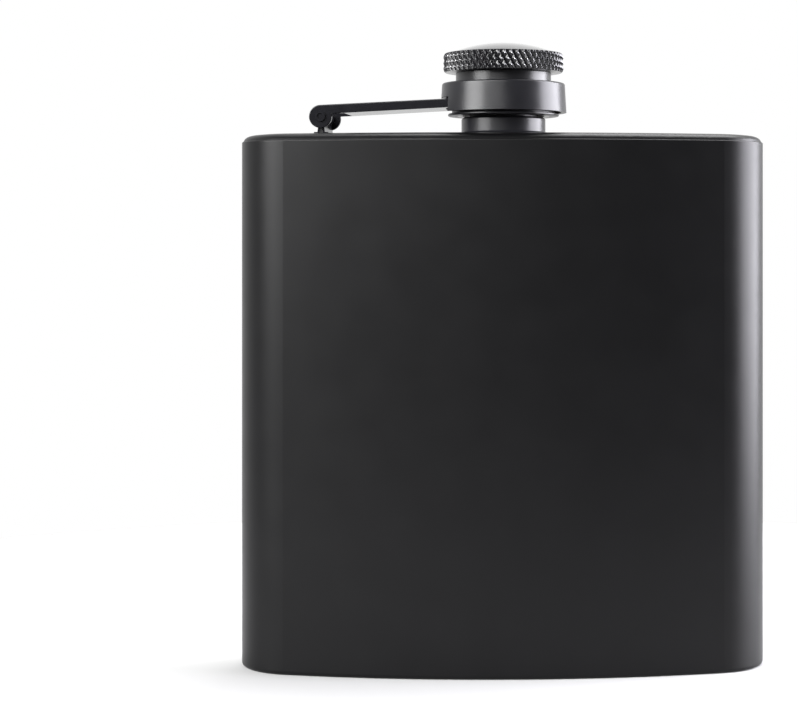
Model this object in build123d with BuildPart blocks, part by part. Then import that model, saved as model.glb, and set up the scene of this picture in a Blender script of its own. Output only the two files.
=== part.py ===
"""Hip flask: a curved steel body with a captive screw cap on a hinged arm.

Frame: origin on the base's flat face, on the neck's axis. +Z is up, +X is to the right
with the convex front face towards -Y. All sizes are in millimetres.
"""

from build123d import *
from math import asin, cos, degrees, hypot, radians, sin, sqrt, tan
import os

# Body
BODY_WIDTH = 94.0
BODY_HEIGHT = 94.0
BODY_THICKNESS = 22.0
BEND_RADIUS = 142.0
SHEET = 0.6
SHELL_EDGE_ROUND = 0.25

# Top and bottom plates
CROWN_RISE = 1.25
SHOULDER_RUN = 3.2
BASE_RIM = 1.0
BASE_EDGE_ROUND = 0.75
SKIRT_DEPTH = 2.0
SKIRT_SHEET = 0.5
SKIRT_GAP = 0.02

# Neck and its outside thread
SHOULDER_STEP = 1.0
SHOULDER_HEIGHT = 2.95
SHOULDER_ROUND = 0.35
NECK_WALL = 0.8
NECK_FIT_GAP = 0.02
NECK_TAIL = 0.5
WELD_BEAD = 0.35
THREAD_HEIGHT = 3.6
THREAD_PITCH = 1.5
THREAD_CREST_RADIUS = 6.5
THREAD_DEPTH = 0.5
RIDGE_HALF_ROOT = 0.5
RIDGE_HALF_CREST = 0.12
RIDGE_SINK = 0.15
RIDGE_END_GAP = 0.05

# Cap barrel
CAP_LIFT = 3.0
BARREL_WALL = 1.2
BARREL_FOOT_GAP = 0.25
THREAD_PLAY = 0.3
GASKET_THICKNESS = 1.2
GASKET_GAP = 0.02
CROWN_WALL = 1.0
SPIGOT_STEP = 0.9
SPIGOT_HEIGHT = 2.0
SPIGOT_GAP = 0.02
SPIGOT_WALL = 1.6

# Cap head
HEAD_GAP = 1.95
HEAD_OVERHANG = 2.25
HEAD_HEIGHT = 3.35
HEAD_CHAMFER = 0.35
HEAD_CONE_WIDTH = 1.0
HEAD_CONE_HEIGHT = 0.2
HEAD_BORE_GAP = 0.02
DOME_SETBACK = 1.1
DOME_RISE = 1.95
SOCKET_CLEARANCE = 0.3

# Retaining ring and the groove that it sits in
RING_WIDTH = 1.4
RING_HEIGHT = 1.5
RING_FLANGE_HEIGHT = 0.4
RING_HUB_STEP = 0.7
RING_LIP_HEIGHT = 0.6
RING_ROUND = 0.1
GROOVE_DEPTH = 0.4
RING_PLAY = 0.05

# Collar
COLLAR_RING_GAP = 0.4
COLLAR_WALL = 0.65
COLLAR_FLARE = 0.3
COLLAR_TOP_SHEET = 0.6
COLLAR_TOP_GAP = 0.75
COLLAR_ROUND = 0.35
COLLAR_ABOVE_RING_FOOT = 0.65
COLLAR_HOLE_PLAY = 0.15
NOTCH_SIDE_GAP = 1.15
NOTCH_ABOVE_ARM = 0.3
HOOK_RUN = 1.0

# Arm and hinge
HINGE_INSET = 15.0
PIN_ABOVE_CROWN = 3.1
PIN_RADIUS = 0.55
PIN_HEAD_RIM = 0.35
PIN_HEAD_HEIGHT = 0.35
PIN_RECESS_DEPTH = 0.2
ARM_WIDTH = 10.2
ARM_SHEET = 0.7
ARM_DEPTH = 1.55
ARM_ROUND = 0.15
ARM_SLOPE = 2.5
EAR_RADIUS = 2.05
FORK_LENGTH = 4.2
BRACKET_SHEET = 0.38
BRACKET_PLAY = 0.05
BRACKET_SIDE_GAP = 0.2
BRACKET_FOOT = 1.3
BRACKET_NECK = 0.5

# Radii worked out from the thread outwards
thread_root_radius = THREAD_CREST_RADIUS - THREAD_DEPTH
neck_radius = THREAD_CREST_RADIUS + SHOULDER_STEP
neck_bore_radius = thread_root_radius - NECK_WALL
barrel_root_radius = THREAD_CREST_RADIUS + THREAD_PLAY + THREAD_DEPTH
barrel_radius = barrel_root_radius + BARREL_WALL
groove_radius = barrel_radius - GROOVE_DEPTH
spigot_radius = barrel_radius - SPIGOT_STEP
head_radius = barrel_radius + HEAD_OVERHANG
dome_radius = head_radius - DOME_SETBACK
ring_bore_radius = barrel_radius + RING_PLAY
ring_radius = barrel_radius + RING_WIDTH
collar_bore_radius = ring_radius + COLLAR_RING_GAP
collar_top_radius = collar_bore_radius + COLLAR_WALL
collar_foot_radius = collar_top_radius + COLLAR_FLARE

# Heights worked out from the body upwards
crown_z = BODY_HEIGHT + CROWN_RISE
shoulder_z = crown_z + SHOULDER_HEIGHT
mouth_z = shoulder_z + THREAD_HEIGHT
gasket_top_z = mouth_z + GASKET_THICKNESS
barrel_foot_z = shoulder_z + BARREL_FOOT_GAP
ring_top_z = barrel_foot_z + RING_HEIGHT
flange_top_z = barrel_foot_z + RING_FLANGE_HEIGHT
lip_z = barrel_foot_z + (RING_HEIGHT - RING_LIP_HEIGHT) / 2
lip_top_z = lip_z + RING_LIP_HEIGHT
collar_z = barrel_foot_z + COLLAR_ABOVE_RING_FOOT
collar_top_z = ring_top_z + CAP_LIFT + COLLAR_TOP_GAP + COLLAR_TOP_SHEET
head_z = collar_top_z + HEAD_GAP
head_top_z = head_z + HEAD_HEIGHT
pin_z = crown_z + PIN_ABOVE_CROWN

# The body's plan is a stadium bent along an arc, whose middle passes through the neck's axis
bend_half_angle = degrees(asin((BODY_WIDTH - BODY_THICKNESS) / 2 / BEND_RADIUS))
spine = CenterArc((0, BEND_RADIUS), BEND_RADIUS, 270 - bend_half_angle, 2 * bend_half_angle)

# The hinge stands on the spine, so the arm runs at a small angle to the X axis
hinge_offset = BODY_WIDTH / 2 - HINGE_INSET
hinge_back = BEND_RADIUS - sqrt(BEND_RADIUS**2 - hinge_offset**2)
arm_reach = hypot(hinge_offset, hinge_back)
arm_along = Vector(hinge_offset, -hinge_back, 0).normalized()
arm_front = arm_along.cross(Vector(0, 0, 1))
ear_inner_half = ARM_WIDTH / 2 - ARM_SHEET

# The arm's upper edge rises from the ears to the collar, and hooks up at the notch's top
flank_reach = arm_reach - sqrt(collar_bore_radius**2 - (ARM_WIDTH / 2) ** 2)
hook_start = flank_reach - HOOK_RUN
hook_start_top = EAR_RADIUS + hook_start * tan(radians(ARM_SLOPE))
arm_end_top = EAR_RADIUS + flank_reach * tan(radians(ARM_SLOPE))
arm_end_foot = arm_end_top - ARM_DEPTH
notch_top_z = pin_z + arm_end_top + NOTCH_ABOVE_ARM


def arm_side_plane():
    """The arm's middle plane: local X runs from the pin to the neck, and local Y is up."""
    return Plane(origin=(-hinge_offset, hinge_back, pin_z), x_dir=arm_along, z_dir=arm_front)


def arm_plan_plane(height):
    """A level plane whose origin is on the neck's axis and whose X runs along the arm."""
    return Plane(origin=(0, 0, height), x_dir=arm_along, z_dir=(0, 0, 1))


def dome_levels(base, edge_inset):
    """Heights and insets of the outlines that a pressed plate's rounded shoulder follows."""
    for angle in (0, 30, 60, 90):
        inset = edge_inset + SHOULDER_RUN * (1 - cos(radians(angle)))
        yield base + CROWN_RISE * sin(radians(angle)), inset


# Body shell
with BuildPart() as body_shell:
    with BuildSketch(Plane.XY.offset(BASE_RIM)):
        SlotArc(spine, BODY_THICKNESS)
        SlotArc(spine, BODY_THICKNESS - 2 * SHEET, mode=Mode.SUBTRACT)
    extrude(amount=BODY_HEIGHT - BASE_RIM)
    top_rim = body_shell.faces().sort_by(Axis.Z)[-1].outer_wire().edges()
    fillet(top_rim, SHELL_EDGE_ROUND)

# Top plate: a domed pressing with a skirt inside the shell and a hole for the neck
skirt_inset = SHEET + SKIRT_GAP
with BuildPart() as top_plate:
    for level, inset in dome_levels(BODY_HEIGHT, SHELL_EDGE_ROUND):
        with BuildSketch(Plane.XY.offset(level)):
            SlotArc(spine, BODY_THICKNESS - 2 * inset)
    loft()
    for level, inset in dome_levels(BODY_HEIGHT - SHEET, SHELL_EDGE_ROUND):
        with BuildSketch(Plane.XY.offset(level)):
            SlotArc(spine, BODY_THICKNESS - 2 * inset)
    loft(mode=Mode.SUBTRACT)
    with BuildSketch(Plane.XY.offset(BODY_HEIGHT - SKIRT_DEPTH)):
        SlotArc(spine, BODY_THICKNESS - 2 * skirt_inset)
        SlotArc(spine, BODY_THICKNESS - 2 * (skirt_inset + SKIRT_SHEET), mode=Mode.SUBTRACT)
    extrude(amount=SKIRT_DEPTH)
    with Locations((0, 0, crown_z)):
        Hole(neck_radius + NECK_FIT_GAP, depth=2 * SHEET)

# Bottom plate: a shallow tray with a skirt inside the shell
with BuildPart() as bottom_plate:
    with BuildSketch():
        SlotArc(spine, BODY_THICKNESS)
    extrude(amount=BASE_RIM)
    fillet(bottom_plate.faces().sort_by(Axis.Z)[0].outer_wire().edges(), BASE_EDGE_ROUND)
    with BuildSketch(Plane.XY.offset(BASE_RIM)):
        SlotArc(spine, BODY_THICKNESS - 2 * skirt_inset)
    extrude(amount=SKIRT_DEPTH)
    with BuildSketch(Plane.XY.offset(SHEET)):
        SlotArc(spine, BODY_THICKNESS - 2 * (skirt_inset + SKIRT_SHEET))
    extrude(amount=BASE_RIM + SKIRT_DEPTH, mode=Mode.SUBTRACT)

# Neck: turned, welded through the top plate
neck_helix_z = shoulder_z + THREAD_PITCH / 2
neck_helix_height = THREAD_HEIGHT - THREAD_PITCH
with BuildPart() as neck:
    with BuildSketch(Plane.XZ):
        with BuildLine():
            Polyline(
                (neck_bore_radius, crown_z - SHEET - NECK_TAIL),
                (neck_radius, crown_z - SHEET - NECK_TAIL),
                (neck_radius, crown_z),
                (neck_radius + WELD_BEAD, crown_z),
                (neck_radius, crown_z + WELD_BEAD),
                (neck_radius, shoulder_z - SHOULDER_ROUND),
                (neck_radius - SHOULDER_ROUND, shoulder_z),
                (thread_root_radius, shoulder_z),
                (thread_root_radius, mouth_z),
                (neck_bore_radius, mouth_z),
                close=True,
            )
        make_face()
    revolve(axis=Axis.Z)
    with BuildLine() as neck_helix:
        Helix(THREAD_PITCH, neck_helix_height, thread_root_radius, center=(0, 0, neck_helix_z))
    with BuildSketch(Plane(neck_helix.line @ 0, x_dir=(1, 0, 0), z_dir=neck_helix.line % 0)):
        with BuildLine():
            Polyline(
                (-RIDGE_SINK, -RIDGE_HALF_ROOT),
                (THREAD_DEPTH, -RIDGE_HALF_CREST),
                (THREAD_DEPTH, RIDGE_HALF_CREST),
                (-RIDGE_SINK, RIDGE_HALF_ROOT),
                close=True,
            )
        make_face()
    sweep(path=neck_helix.line, is_frenet=True)

# Cap barrel: a sleeve with an inside thread, which carries the gasket and fits into the head
groove_z = lip_z - RING_PLAY
groove_top_z = lip_top_z + RING_PLAY
barrel_helix_z = barrel_foot_z + THREAD_PITCH / 2
barrel_helix_height = mouth_z - barrel_foot_z - THREAD_PITCH - RIDGE_END_GAP
with BuildPart() as cap_barrel:
    with BuildSketch(Plane.XZ):
        with BuildLine():
            Polyline(
                (barrel_root_radius, barrel_foot_z),
                (barrel_radius, barrel_foot_z),
                (barrel_radius, groove_z),
                (groove_radius, groove_z),
                (groove_radius, groove_top_z),
                (barrel_radius, groove_top_z),
                (barrel_radius, head_z),
                (spigot_radius, head_z),
                (spigot_radius, head_z + SPIGOT_HEIGHT),
                (spigot_radius - SPIGOT_WALL, head_z + SPIGOT_HEIGHT),
                (spigot_radius - SPIGOT_WALL, gasket_top_z + CROWN_WALL),
                (0, gasket_top_z + CROWN_WALL),
                (0, gasket_top_z),
                (barrel_root_radius, gasket_top_z),
                close=True,
            )
        make_face()
    revolve(axis=Axis.Z)
    with BuildLine() as barrel_helix:
        Helix(THREAD_PITCH, barrel_helix_height, barrel_root_radius, center=(0, 0, barrel_helix_z))
    with BuildSketch(Plane(barrel_helix.line @ 0, x_dir=(-1, 0, 0), z_dir=barrel_helix.line % 0)):
        with BuildLine():
            Polyline(
                (-RIDGE_SINK, -RIDGE_HALF_ROOT),
                (THREAD_DEPTH, -RIDGE_HALF_CREST),
                (THREAD_DEPTH, RIDGE_HALF_CREST),
                (-RIDGE_SINK, RIDGE_HALF_ROOT),
                close=True,
            )
        make_face()
    sweep(path=barrel_helix.line, is_frenet=True)

# Gasket: a flat sealing disc between the barrel's crown and the neck's mouth
with BuildPart() as cap_gasket:
    with BuildSketch(Plane.XY.offset(mouth_z)):
        Circle(barrel_root_radius - GASKET_GAP)
    extrude(amount=GASKET_THICKNESS)

# Cap head: a grip band with a domed top, pressed on to the barrel's spigot
socket_top_z = head_z + SPIGOT_HEIGHT + SOCKET_CLEARANCE
with BuildPart() as cap_head:
    with BuildSketch(Plane.XZ):
        with BuildLine():
            Polyline(
                (0, head_top_z + DOME_RISE),
                (0, socket_top_z),
                (spigot_radius + SPIGOT_GAP, socket_top_z),
                (spigot_radius + SPIGOT_GAP, head_z),
                (barrel_radius + HEAD_BORE_GAP, head_z),
                (barrel_radius + HEAD_BORE_GAP, head_z - HEAD_CONE_HEIGHT),
                (barrel_radius + HEAD_CONE_WIDTH, head_z),
                (head_radius - HEAD_CHAMFER, head_z),
                (head_radius, head_z + HEAD_CHAMFER),
                (head_radius, head_top_z - HEAD_CHAMFER),
                (head_radius - HEAD_CHAMFER, head_top_z),
                (dome_radius, head_top_z),
            )
            dome_arc_radius = (dome_radius**2 + DOME_RISE**2) / (2 * DOME_RISE)
            RadiusArc((0, head_top_z + DOME_RISE), (dome_radius, head_top_z), dome_arc_radius)
        make_face()
    revolve(axis=Axis.Z)

# Retaining ring: a flange below a hub, whose lip runs in the barrel's groove
with BuildPart() as retaining_ring:
    with BuildSketch(Plane.XZ):
        with BuildLine():
            Polyline(
                (ring_bore_radius, barrel_foot_z),
                (ring_radius - RING_ROUND, barrel_foot_z),
                (ring_radius, barrel_foot_z + RING_ROUND),
                (ring_radius, flange_top_z - RING_ROUND),
                (ring_radius - RING_ROUND, flange_top_z),
                (ring_radius - RING_HUB_STEP, flange_top_z),
                (ring_radius - RING_HUB_STEP, ring_top_z),
                (ring_bore_radius, ring_top_z),
                (ring_bore_radius, lip_top_z),
                (groove_radius + RING_PLAY, lip_top_z),
                (groove_radius + RING_PLAY, lip_z),
                (ring_bore_radius, lip_z),
                close=True,
            )
        make_face()
    revolve(axis=Axis.Z)

# Collar: a cup around the barrel, with a notch in its wall for the arm
with BuildPart() as cap_collar:
    with BuildSketch(Plane.XZ):
        with BuildLine():
            Polyline(
                (collar_bore_radius, collar_z),
                (collar_foot_radius, collar_z),
                (collar_top_radius, collar_top_z),
                (barrel_radius + COLLAR_HOLE_PLAY, collar_top_z),
                (barrel_radius + COLLAR_HOLE_PLAY, collar_top_z - COLLAR_TOP_SHEET),
                (collar_bore_radius, collar_top_z - COLLAR_TOP_SHEET),
                close=True,
            )
        make_face()
    revolve(axis=Axis.Z)
    fillet(cap_collar.faces().sort_by(Axis.Z)[-1].outer_wire().edges(), COLLAR_ROUND)
    with BuildSketch(arm_plan_plane(collar_z)):
        with Locations((-collar_foot_radius, 0)):
            Rectangle(collar_foot_radius, ARM_WIDTH + 2 * NOTCH_SIDE_GAP)
    extrude(amount=notch_top_z - collar_z, mode=Mode.SUBTRACT)

# Arm: a channel that opens upwards, with two ears on the pin and an end wall in the notch
floor_run = 2 * arm_reach
floor_rise = floor_run * tan(radians(ARM_SLOPE))
floor_start = EAR_RADIUS - ARM_DEPTH + ARM_SHEET
with BuildPart() as cap_arm:
    with BuildSketch(arm_side_plane()):
        Circle(EAR_RADIUS)
        with BuildLine():
            Polyline(
                (0, EAR_RADIUS),
                (hook_start, hook_start_top),
                (flank_reach, arm_end_top + NOTCH_ABOVE_ARM),
                (flank_reach, arm_end_foot),
                (EAR_RADIUS, EAR_RADIUS - ARM_DEPTH),
                (0, 0),
                close=True,
            )
        make_face()
    extrude(amount=ARM_WIDTH / 2, both=True)
    arm_sides = cap_arm.faces().sort_by(Axis((0, 0, 0), arm_front))
    fillet([edge for side in (arm_sides[0], arm_sides[-1]) for edge in side.edges()], ARM_ROUND)
    # The channel's hollow, above its floor
    with BuildSketch(arm_side_plane()):
        with BuildLine():
            Polyline(
                (0, floor_start),
                (floor_run, floor_start + floor_rise),
                (floor_run, floor_start + 2 * floor_rise + ARM_WIDTH),
                (0, floor_start + ARM_WIDTH),
                close=True,
            )
        make_face()
    extrude(amount=ear_inner_half, both=True, mode=Mode.SUBTRACT)
    # The fork around the hinge bracket
    with BuildSketch(arm_side_plane()):
        with Locations((FORK_LENGTH - ARM_WIDTH, 0)):
            Rectangle(2 * ARM_WIDTH, 2 * ARM_WIDTH)
    extrude(amount=ear_inner_half, both=True, mode=Mode.SUBTRACT)
    with BuildSketch(arm_side_plane()):
        Circle(PIN_RADIUS)
    extrude(amount=ARM_WIDTH, both=True, mode=Mode.SUBTRACT)
    # The end wall, bent to the collar's curve
    with BuildSketch(arm_plan_plane(pin_z + arm_end_foot)):
        Circle(collar_top_radius)
        with Locations((-arm_reach / 2, 0)):
            Rectangle(arm_reach, ARM_WIDTH, mode=Mode.INTERSECT)
        Circle(collar_bore_radius, mode=Mode.SUBTRACT)
    extrude(amount=ARM_DEPTH + NOTCH_ABOVE_ARM)
    with BuildSketch(arm_plan_plane(pin_z - EAR_RADIUS)):
        Circle(collar_bore_radius)
    extrude(amount=EAR_RADIUS + notch_top_z - pin_z, mode=Mode.SUBTRACT)

# Hinge pin: a rivet through the arm's ears, with a dimpled head at each end
with BuildPart() as hinge_pin:
    with BuildSketch(arm_side_plane()):
        Circle(PIN_RADIUS)
    extrude(amount=ARM_WIDTH / 2 + PIN_HEAD_HEIGHT / 2, both=True)
    for side in (-1, 1):
        with BuildSketch(arm_side_plane().offset(side * ARM_WIDTH / 2)):
            Circle(PIN_RADIUS + PIN_HEAD_RIM)
        extrude(amount=side * PIN_HEAD_HEIGHT)
        outer_face = side * (ARM_WIDTH / 2 + PIN_HEAD_HEIGHT)
        with BuildSketch(arm_side_plane().offset(outer_face)):
            Circle(PIN_RADIUS)
        extrude(amount=-side * PIN_RECESS_DEPTH, mode=Mode.SUBTRACT)

# Hinge bracket: one strap looped round the pin, its two feet on the top plate
loop_radius = PIN_RADIUS + BRACKET_PLAY + BRACKET_SHEET / 2
foot_y = crown_z + BRACKET_SHEET / 2 - pin_z
loop_end_y = -sqrt(loop_radius**2 - (BRACKET_NECK / 2) ** 2)
with BuildPart() as hinge_bracket:
    with BuildSketch(arm_side_plane()):
        with BuildLine():
            Line((-BRACKET_FOOT, foot_y), (-BRACKET_NECK, foot_y))
            Line((-BRACKET_NECK, foot_y), (-BRACKET_NECK / 2, loop_end_y))
            ThreePointArc((-BRACKET_NECK / 2, loop_end_y), (0, loop_radius), (BRACKET_NECK / 2, loop_end_y))
            Line((BRACKET_NECK / 2, loop_end_y), (BRACKET_NECK, foot_y))
            Line((BRACKET_NECK, foot_y), (BRACKET_FOOT, foot_y))
        trace(line_width=BRACKET_SHEET)
    extrude(amount=ear_inner_half - BRACKET_SIDE_GAP, both=True)

os.makedirs("parts", exist_ok=True)

body_shell.part.label = "body_shell"
export_step(body_shell.part, "parts/body_shell.step")

top_plate.part.label = "top_plate"
export_step(top_plate.part, "parts/top_plate.step")

bottom_plate.part.label = "bottom_plate"
export_step(bottom_plate.part, "parts/bottom_plate.step")

neck.part.label = "neck"
export_step(neck.part, "parts/neck.step")

hinge_bracket.part.label = "hinge_bracket"
export_step(hinge_bracket.part, "parts/hinge_bracket.step")

hinge_pin.part.label = "hinge_pin"
export_step(hinge_pin.part, "parts/hinge_pin.step")

cap_arm.part.label = "cap_arm"
export_step(cap_arm.part, "parts/cap_arm.step")

cap_collar.part.label = "cap_collar"
export_step(cap_collar.part, "parts/cap_collar.step")

retaining_ring.part.label = "retaining_ring"
export_step(retaining_ring.part, "parts/retaining_ring.step")

cap_head.part.label = "cap_head"
export_step(cap_head.part, "parts/cap_head.step")

cap_barrel.part.label = "cap_barrel"
export_step(cap_barrel.part, "parts/cap_barrel.step")

cap_gasket.part.label = "cap_gasket"
export_step(cap_gasket.part, "parts/cap_gasket.step")
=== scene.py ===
"""The looks of the hip flask: a satin black coat, a diamond-knurled cap and soft studio light."""

import math

import bmesh
import bpy
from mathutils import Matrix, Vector


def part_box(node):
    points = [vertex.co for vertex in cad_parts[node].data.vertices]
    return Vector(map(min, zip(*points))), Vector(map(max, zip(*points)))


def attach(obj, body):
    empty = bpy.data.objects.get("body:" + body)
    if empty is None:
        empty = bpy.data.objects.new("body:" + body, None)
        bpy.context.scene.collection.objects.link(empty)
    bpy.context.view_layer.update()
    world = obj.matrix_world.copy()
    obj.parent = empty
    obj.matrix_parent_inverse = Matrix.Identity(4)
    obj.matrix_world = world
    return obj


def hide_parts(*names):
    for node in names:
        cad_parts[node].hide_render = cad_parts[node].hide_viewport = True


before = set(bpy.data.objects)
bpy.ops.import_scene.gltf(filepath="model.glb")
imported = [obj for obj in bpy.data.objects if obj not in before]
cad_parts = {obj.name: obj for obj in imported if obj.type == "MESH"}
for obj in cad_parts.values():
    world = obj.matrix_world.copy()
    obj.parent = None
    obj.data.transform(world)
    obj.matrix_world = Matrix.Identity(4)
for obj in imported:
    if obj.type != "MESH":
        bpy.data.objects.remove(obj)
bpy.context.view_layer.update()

MM = 0.001

# The view: a level camera before the flask, a little to its left, framed by its shift
VIEW_DISTANCE = 380 * MM
VIEW_AZIMUTH = math.radians(-1.2)
EYE_HEIGHT = 75.5 * MM
LENS = 96.0
SENSOR = 36.0
SHIFT_X = -0.1309
SHIFT_Y = -0.1441

# The cap head's profile: a grip band over a short cone, under a dome
HEAD_HEIGHT = 3.35 * MM
HEAD_CHAMFER = 0.35 * MM
HEAD_CONE_WIDTH = 1.0 * MM
HEAD_CONE_HEIGHT = 0.2 * MM
HEAD_BORE_GAP = 0.02 * MM
DOME_SETBACK = 1.1 * MM
SOCKET_DEPTH = 2.3 * MM
SPIGOT_STEP = 0.88 * MM

# The grip band's knurl: grooves that lean one way, and shallower ones that cross them
KNURL_TEETH = 58
KNURL_ANGLE = math.radians(30)
KNURL_DEPTH = 0.46 * MM
KNURL_LAND = 0.03
KNURL_CROSS_SHARE = 0.62
# How far in from the crests the painted highlight reaches, as bright metal
CREST_HIGHLIGHT_DEPTH = 0.08 * MM

# The head mesh's steps: round each tooth, down the band, across the dome
KNURL_STEPS = 14
BAND_ROWS = 34
DOME_STEPS = 24
SHARP_EDGE = math.radians(28)

# Radius, from the neck's axis, inside which the barrel shows bare steel
STEEL_RADIUS = 8.2 * MM

# The surround's brightness before and behind the flask, and the floor's size
FRONT_BRIGHTNESS = 0.16
BACK_BRIGHTNESS = 1.0
FLOOR_RADIUS = 210 * MM
AIM_HEIGHT = 60 * MM


# ---------------------------------------------------------------- materials


def new_material(name, color, metallic, roughness, specular):
    """A principled material, its shader and its node tree."""
    material = bpy.data.materials.new(name)
    material.use_nodes = True
    tree = material.node_tree
    shader = tree.nodes["Principled BSDF"]
    shader.inputs["Base Color"].default_value = (*color, 1)
    shader.inputs["Metallic"].default_value = metallic
    shader.inputs["Roughness"].default_value = roughness
    shader.inputs["Specular IOR Level"].default_value = specular
    return material, tree, shader


def object_point(tree, scale=(1, 1, 1)):
    """The surface point in the object's own space, stretched by scale."""
    place = tree.nodes.new("ShaderNodeTexCoord")
    stretch = tree.nodes.new("ShaderNodeMapping")
    stretch.inputs["Scale"].default_value = scale
    tree.links.new(place.outputs["Object"], stretch.inputs["Vector"])
    return stretch.outputs["Vector"]


def axis_distance(tree):
    """How far the surface point is from the neck's axis."""
    length = tree.nodes.new("ShaderNodeVectorMath")
    length.operation = "LENGTH"
    tree.links.new(object_point(tree, (1, 1, 0)), length.inputs[0])
    return length.outputs["Value"]


def noise(tree, point, scale, detail=2.0):
    """A noise texture's value at point."""
    texture = tree.nodes.new("ShaderNodeTexNoise")
    texture.inputs["Scale"].default_value = scale
    texture.inputs["Detail"].default_value = detail
    tree.links.new(point, texture.inputs["Vector"])
    return texture.outputs["Fac"]


def remap(tree, value, low, high):
    """value, from 0 to 1, spread from low to high."""
    spread = tree.nodes.new("ShaderNodeMapRange")
    spread.inputs["To Min"].default_value = low
    spread.inputs["To Max"].default_value = high
    tree.links.new(value, spread.inputs["Value"])
    return spread.outputs["Result"]


def add_bump(tree, shader, height, distance):
    """Adds a bump, on top of any that the shader already has."""
    bump = tree.nodes.new("ShaderNodeBump")
    bump.inputs["Strength"].default_value = 1.0
    bump.inputs["Distance"].default_value = distance
    tree.links.new(height, bump.inputs["Height"])
    for link in list(shader.inputs["Normal"].links):
        tree.links.new(link.from_socket, bump.inputs["Normal"])
    tree.links.new(bump.outputs["Normal"], shader.inputs["Normal"])


def tint(tree, shader, value, dark, light):
    """Colours the shader from dark to light by value."""
    ramp = tree.nodes.new("ShaderNodeValToRGB")
    ramp.color_ramp.elements[0].color = (*dark, 1)
    ramp.color_ramp.elements[1].color = (*light, 1)
    tree.links.new(value, ramp.inputs["Fac"])
    tree.links.new(ramp.outputs["Color"], shader.inputs["Base Color"])


def add_turning_lines(tree, shader):
    """Adds the fine rings that a lathe leaves round the neck's axis."""
    lines = object_point(tree, (30, 30, 6000))
    add_bump(tree, shader, noise(tree, lines, 1, 2), 0.003 * MM)


def powder_coat():
    """The body's matt black coat: very fine grain over a faint waviness."""
    material, tree, shader = new_material("powder_coat", (0.002, 0.002, 0.0025), 0.0, 0.36, 0.20)
    point = object_point(tree)
    tint(tree, shader, noise(tree, point, 90, 4), (0.0012, 0.0012, 0.0014), (0.0026, 0.0026, 0.003))
    rough = remap(tree, noise(tree, point, 160, 3), 0.33, 0.41)
    tree.links.new(rough, shader.inputs["Roughness"])
    add_bump(tree, shader, noise(tree, point, 420, 1), 0.004 * MM)
    add_bump(tree, shader, noise(tree, point, 3500, 2), 0.0025 * MM)
    return material


def fitting_coat(name, roughness, turned):
    """Black coat on a fitting, with a lathe's fine rings if it was turned."""
    material, tree, shader = new_material(name, (0.004, 0.004, 0.005), 0.0, roughness, 0.33)
    point = object_point(tree)
    tint(tree, shader, noise(tree, point, 300, 3), (0.004, 0.004, 0.005), (0.009, 0.009, 0.011))
    rough = remap(tree, noise(tree, point, 500, 3), roughness - 0.04, roughness + 0.05)
    tree.links.new(rough, shader.inputs["Roughness"])
    add_bump(tree, shader, noise(tree, point, 2500, 2), 0.002 * MM)
    if turned:
        add_turning_lines(tree, shader)
    return material


def crest_highlight_coat():
    """Black coat with a painted highlight along the knurl's crests, tinted to bright bare metal."""
    material, tree, shader = new_material("crest_highlight_coat", (0.004, 0.004, 0.005), 0.0, 0.19, 0.4)
    crest = tree.nodes.new("ShaderNodeMapRange")
    crest.interpolation_type = "SMOOTHSTEP"
    crest.inputs["From Min"].default_value = head_radius - CREST_HIGHLIGHT_DEPTH
    crest.inputs["From Max"].default_value = head_radius
    tree.links.new(axis_distance(tree), crest.inputs["Value"])
    # The painted highlight, broken into patches by noise
    highlight_patches = remap(tree, noise(tree, object_point(tree), 900, 2), 0.3, 1.3)
    crest_highlight = tree.nodes.new("ShaderNodeMath")
    crest_highlight.operation = "MULTIPLY"
    crest_highlight.use_clamp = True
    tree.links.new(crest.outputs["Result"], crest_highlight.inputs[0])
    tree.links.new(highlight_patches, crest_highlight.inputs[1])
    # Painted highlight: the crests tinted from black to bright metal
    tint(tree, shader, crest_highlight.outputs["Value"], (0.005, 0.005, 0.006), (0.52, 0.52, 0.54))
    tree.links.new(crest_highlight.outputs["Value"], shader.inputs["Metallic"])
    return material


def glossy_coat():
    """The dome's polished black, which turns white where it is seen edge on."""
    material, tree, shader = new_material("glossy_coat", (0.005, 0.005, 0.006), 0.0, 0.12, 1.0)
    shader.inputs["Coat Weight"].default_value = 1.0
    shader.inputs["Coat Roughness"].default_value = 0.06
    add_bump(tree, shader, noise(tree, object_point(tree), 300, 2), 0.001 * MM)
    return material


def barrel_coat():
    """Black outside, and bare turned steel on the thread and the crown inside."""
    material, tree, shader = new_material("barrel_coat", (0.006, 0.006, 0.007), 0.0, 0.3, 0.36)
    inside = tree.nodes.new("ShaderNodeMath")
    inside.operation = "LESS_THAN"
    inside.inputs[1].default_value = STEEL_RADIUS
    tree.links.new(axis_distance(tree), inside.inputs[0])
    tint(tree, shader, inside.outputs["Value"], (0.006, 0.006, 0.007), (0.30, 0.295, 0.285))
    tree.links.new(inside.outputs["Value"], shader.inputs["Metallic"])
    add_turning_lines(tree, shader)
    rough = remap(tree, noise(tree, object_point(tree), 500, 3), 0.25, 0.37)
    tree.links.new(rough, shader.inputs["Roughness"])
    return material


def silicone():
    """The gasket's milky silicone."""
    material, tree, shader = new_material("silicone", (0.36, 0.36, 0.345), 0.0, 0.5, 0.3)
    point = object_point(tree)
    tint(tree, shader, noise(tree, point, 400, 3), (0.32, 0.32, 0.305), (0.40, 0.40, 0.385))
    rough = remap(tree, noise(tree, point, 900, 2), 0.42, 0.58)
    tree.links.new(rough, shader.inputs["Roughness"])
    add_bump(tree, shader, noise(tree, point, 1500, 2), 0.01 * MM)
    shader.inputs["Subsurface Weight"].default_value = 0.2
    shader.inputs["Subsurface Radius"].default_value = (0.0006, 0.0005, 0.0004)
    return material


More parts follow.
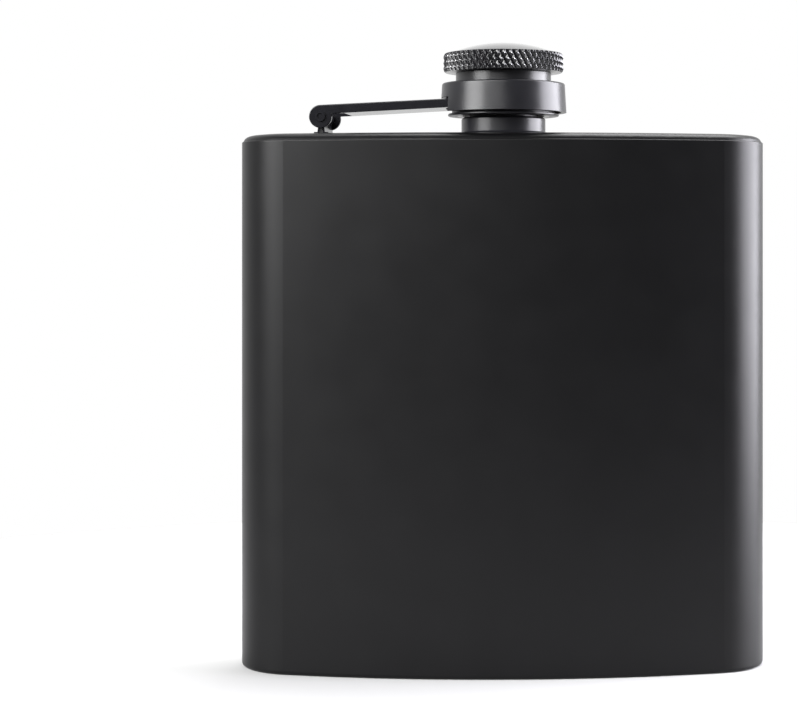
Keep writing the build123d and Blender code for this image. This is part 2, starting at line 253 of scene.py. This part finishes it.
def finish_nodes():
    """Gives each CAD node its material."""
    coat = powder_coat()
    turned = fitting_coat("turned_coat", 0.30, turned=True)
    pressed = fitting_coat("pressed_coat", 0.15, turned=False)
    finishes = {
        "body_shell": coat,
        "top_plate": coat,
        "bottom_plate": coat,
        "neck": turned,
        "cap_collar": turned,
        "retaining_ring": turned,
        "cap_head": turned,
        "cap_barrel": barrel_coat(),
        "cap_arm": pressed,
        "hinge_pin": pressed,
        "hinge_bracket": pressed,
        "cap_gasket": silicone(),
    }
    for name, material in finishes.items():
        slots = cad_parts[name].data.materials
        slots.clear()
        slots.append(material)


# ---------------------------------------------------------------- the knurled head


def groove_share(turn, height, lean):
    """How deep, from 0 to 1, a leaning row of grooves cuts at a point of the band."""
    pitch = 2 * math.pi * head_radius / KNURL_TEETH
    phase = turn * KNURL_TEETH + lean * height * math.tan(KNURL_ANGLE) / pitch
    from_ridge = abs(2 * (phase % 1) - 1)
    return max(0, (from_ridge - KNURL_LAND) / (1 - KNURL_LAND))


def head_profile(foot, dome_foot):
    """(radius, height, knurled) from the dome's middle out, down the band and in to the socket."""
    low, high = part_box("cap_head")
    dome_radius = head_radius - DOME_SETBACK
    rise = high.z - dome_foot
    sphere = (dome_radius**2 + rise**2) / (2 * rise)
    rim_angle = math.asin(dome_radius / sphere)
    for step in range(1, DOME_STEPS + 1):
        angle = rim_angle * step / DOME_STEPS
        yield sphere * math.sin(angle), high.z - sphere * (1 - math.cos(angle)), False
    for step in range(BAND_ROWS + 1):
        height = dome_foot - HEAD_HEIGHT * step / BAND_ROWS
        edge = min(dome_foot - height, height - foot)
        yield head_radius - max(0, HEAD_CHAMFER - edge), height, True
    barrel_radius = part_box("cap_barrel")[1].x
    socket = barrel_radius - SPIGOT_STEP
    yield barrel_radius + HEAD_CONE_WIDTH, foot, False
    yield barrel_radius + HEAD_BORE_GAP, low.z, False
    yield barrel_radius + HEAD_BORE_GAP, foot, False
    yield socket, foot, False
    yield socket, foot + SOCKET_DEPTH, False


def knurled_ring(mesh, radius, height, knurled):
    """A ring of vertices round the neck's axis, with the grooves cut into it if it is knurled."""
    around = KNURL_TEETH * KNURL_STEPS
    ring = []
    for step in range(around):
        turn = step / around
        reach = radius
        if knurled:
            cross = KNURL_CROSS_SHARE * groove_share(turn, height, -1)
            cut = max(groove_share(turn, height, 1), cross)
            reach = min(radius, head_radius - KNURL_DEPTH * cut)
        angle = 2 * math.pi * turn
        ring.append(mesh.verts.new((reach * math.cos(angle), reach * math.sin(angle), height)))
    return ring


def knurled_head(band_material, dome_material):
    """The cap's head, with its two rows of crossing grooves cut into the band."""
    low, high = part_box("cap_head")
    foot = low.z + HEAD_CONE_HEIGHT
    dome_foot = foot + HEAD_HEIGHT
    mesh = bmesh.new()
    top = mesh.verts.new((0, 0, high.z))
    rings = [knurled_ring(mesh, *level) for level in head_profile(foot, dome_foot)]
    bottom = mesh.verts.new((0, 0, foot + SOCKET_DEPTH))
    around = len(rings[0])
    for step in range(around):
        after = (step + 1) % around
        mesh.faces.new((top, rings[0][step], rings[0][after]))
        mesh.faces.new((bottom, rings[-1][after], rings[-1][step]))
        for upper, lower in zip(rings, rings[1:]):
            mesh.faces.new((upper[step], lower[step], lower[after], upper[after]))
    data = bpy.data.meshes.new("knurled_head")
    mesh.to_mesh(data)
    mesh.free()
    data.shade_smooth()
    data.set_sharp_from_angle(angle=SHARP_EDGE)
    data.materials.append(band_material)
    data.materials.append(dome_material)
    for face in data.polygons:
        face.material_index = 1 if face.center.z > dome_foot else 0
    head = bpy.data.objects.new("knurled_head", data)
    bpy.context.scene.collection.objects.link(head)
    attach(head, "cap")
    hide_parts("cap_head")


# ---------------------------------------------------------------- studio


def studio_world():
    """A white surround, darker on the camera's side, so that the black front stays black."""
    world = bpy.data.worlds.new("studio")
    bpy.context.scene.world = world
    world.use_nodes = True
    tree = world.node_tree
    background = tree.nodes["Background"]
    place = tree.nodes.new("ShaderNodeTexCoord")
    split = tree.nodes.new("ShaderNodeSeparateXYZ")
    tree.links.new(place.outputs["Generated"], split.inputs["Vector"])
    fade = tree.nodes.new("ShaderNodeMapRange")
    fade.interpolation_type = "SMOOTHSTEP"
    fade.inputs["From Min"].default_value = -0.35
    fade.inputs["From Max"].default_value = 0.45
    fade.inputs["To Min"].default_value = FRONT_BRIGHTNESS
    fade.inputs["To Max"].default_value = BACK_BRIGHTNESS
    tree.links.new(split.outputs["Y"], fade.inputs["Value"])
    tree.links.new(fade.outputs["Result"], background.inputs["Color"])
    background.inputs["Strength"].default_value = 1.0


def softbox(name, azimuth, distance, height, width, tall, watts, color=(1, 1, 1)):
    """A rectangular softbox that faces the flask's middle. Azimuth 0 is before the flask."""
    light = bpy.data.lights.new(name, "AREA")
    light.shape = "RECTANGLE"
    light.size = width
    light.size_y = tall
    light.energy = watts
    light.color = color
    lamp = bpy.data.objects.new(name, light)
    bpy.context.scene.collection.objects.link(lamp)
    turn = math.radians(azimuth)
    lamp.location = (distance * math.sin(turn), -distance * math.cos(turn), height)
    aim = Vector((0, 0, AIM_HEIGHT)) - lamp.location
    lamp.rotation_euler = aim.to_track_quat("-Z", "Y").to_euler()


def studio_floor():
    """A plain round floor, pale under the studio's lamps."""
    mesh = bmesh.new()
    bmesh.ops.create_circle(mesh, cap_ends=True, segments=256, radius=FLOOR_RADIUS)
    data = bpy.data.meshes.new("floor")
    mesh.to_mesh(data)
    mesh.free()
    floor = bpy.data.objects.new("floor", data)
    bpy.context.scene.collection.objects.link(floor)
    material = new_material("floor_pale", (0.42, 0.42, 0.42), 0.0, 0.9, 0.1)[0]
    data.materials.append(material)


def studio_camera():
    """The level camera, shifted so that the flask stands right of the middle."""
    data = bpy.data.cameras.new("camera")
    data.sensor_width = SENSOR
    data.lens = LENS
    data.shift_x = SHIFT_X
    data.shift_y = SHIFT_Y
    data.clip_start = 0.01
    camera = bpy.data.objects.new("camera", data)
    bpy.context.scene.collection.objects.link(camera)
    camera.location = (
        VIEW_DISTANCE * math.sin(VIEW_AZIMUTH),
        -VIEW_DISTANCE * math.cos(VIEW_AZIMUTH),
        EYE_HEIGHT,
    )
    camera.rotation_euler = (math.pi / 2, 0, VIEW_AZIMUTH)
    bpy.context.scene.camera = camera


head_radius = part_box("cap_head")[1].x
studio_camera()
studio_world()
studio_floor()
softbox("key_right", 97, 0.55, 0.23, 0.52, 0.50, 14.5, (0.94, 0.93, 1.0))
softbox("fill_left", -57, 0.75, 0.38, 0.50, 0.50, 14.5)
softbox("fill_front", -20, 0.9, 0.55, 0.6, 0.4, 9.0)
softbox("overhead", 150, 0.3, 0.75, 0.5, 0.5, 6)
finish_nodes()
# The band gets the painted crest highlight; the dome gets its gloss
knurled_head(crest_highlight_coat(), glossy_coat())

bpy.context.scene.view_settings.view_transform = "Standard"
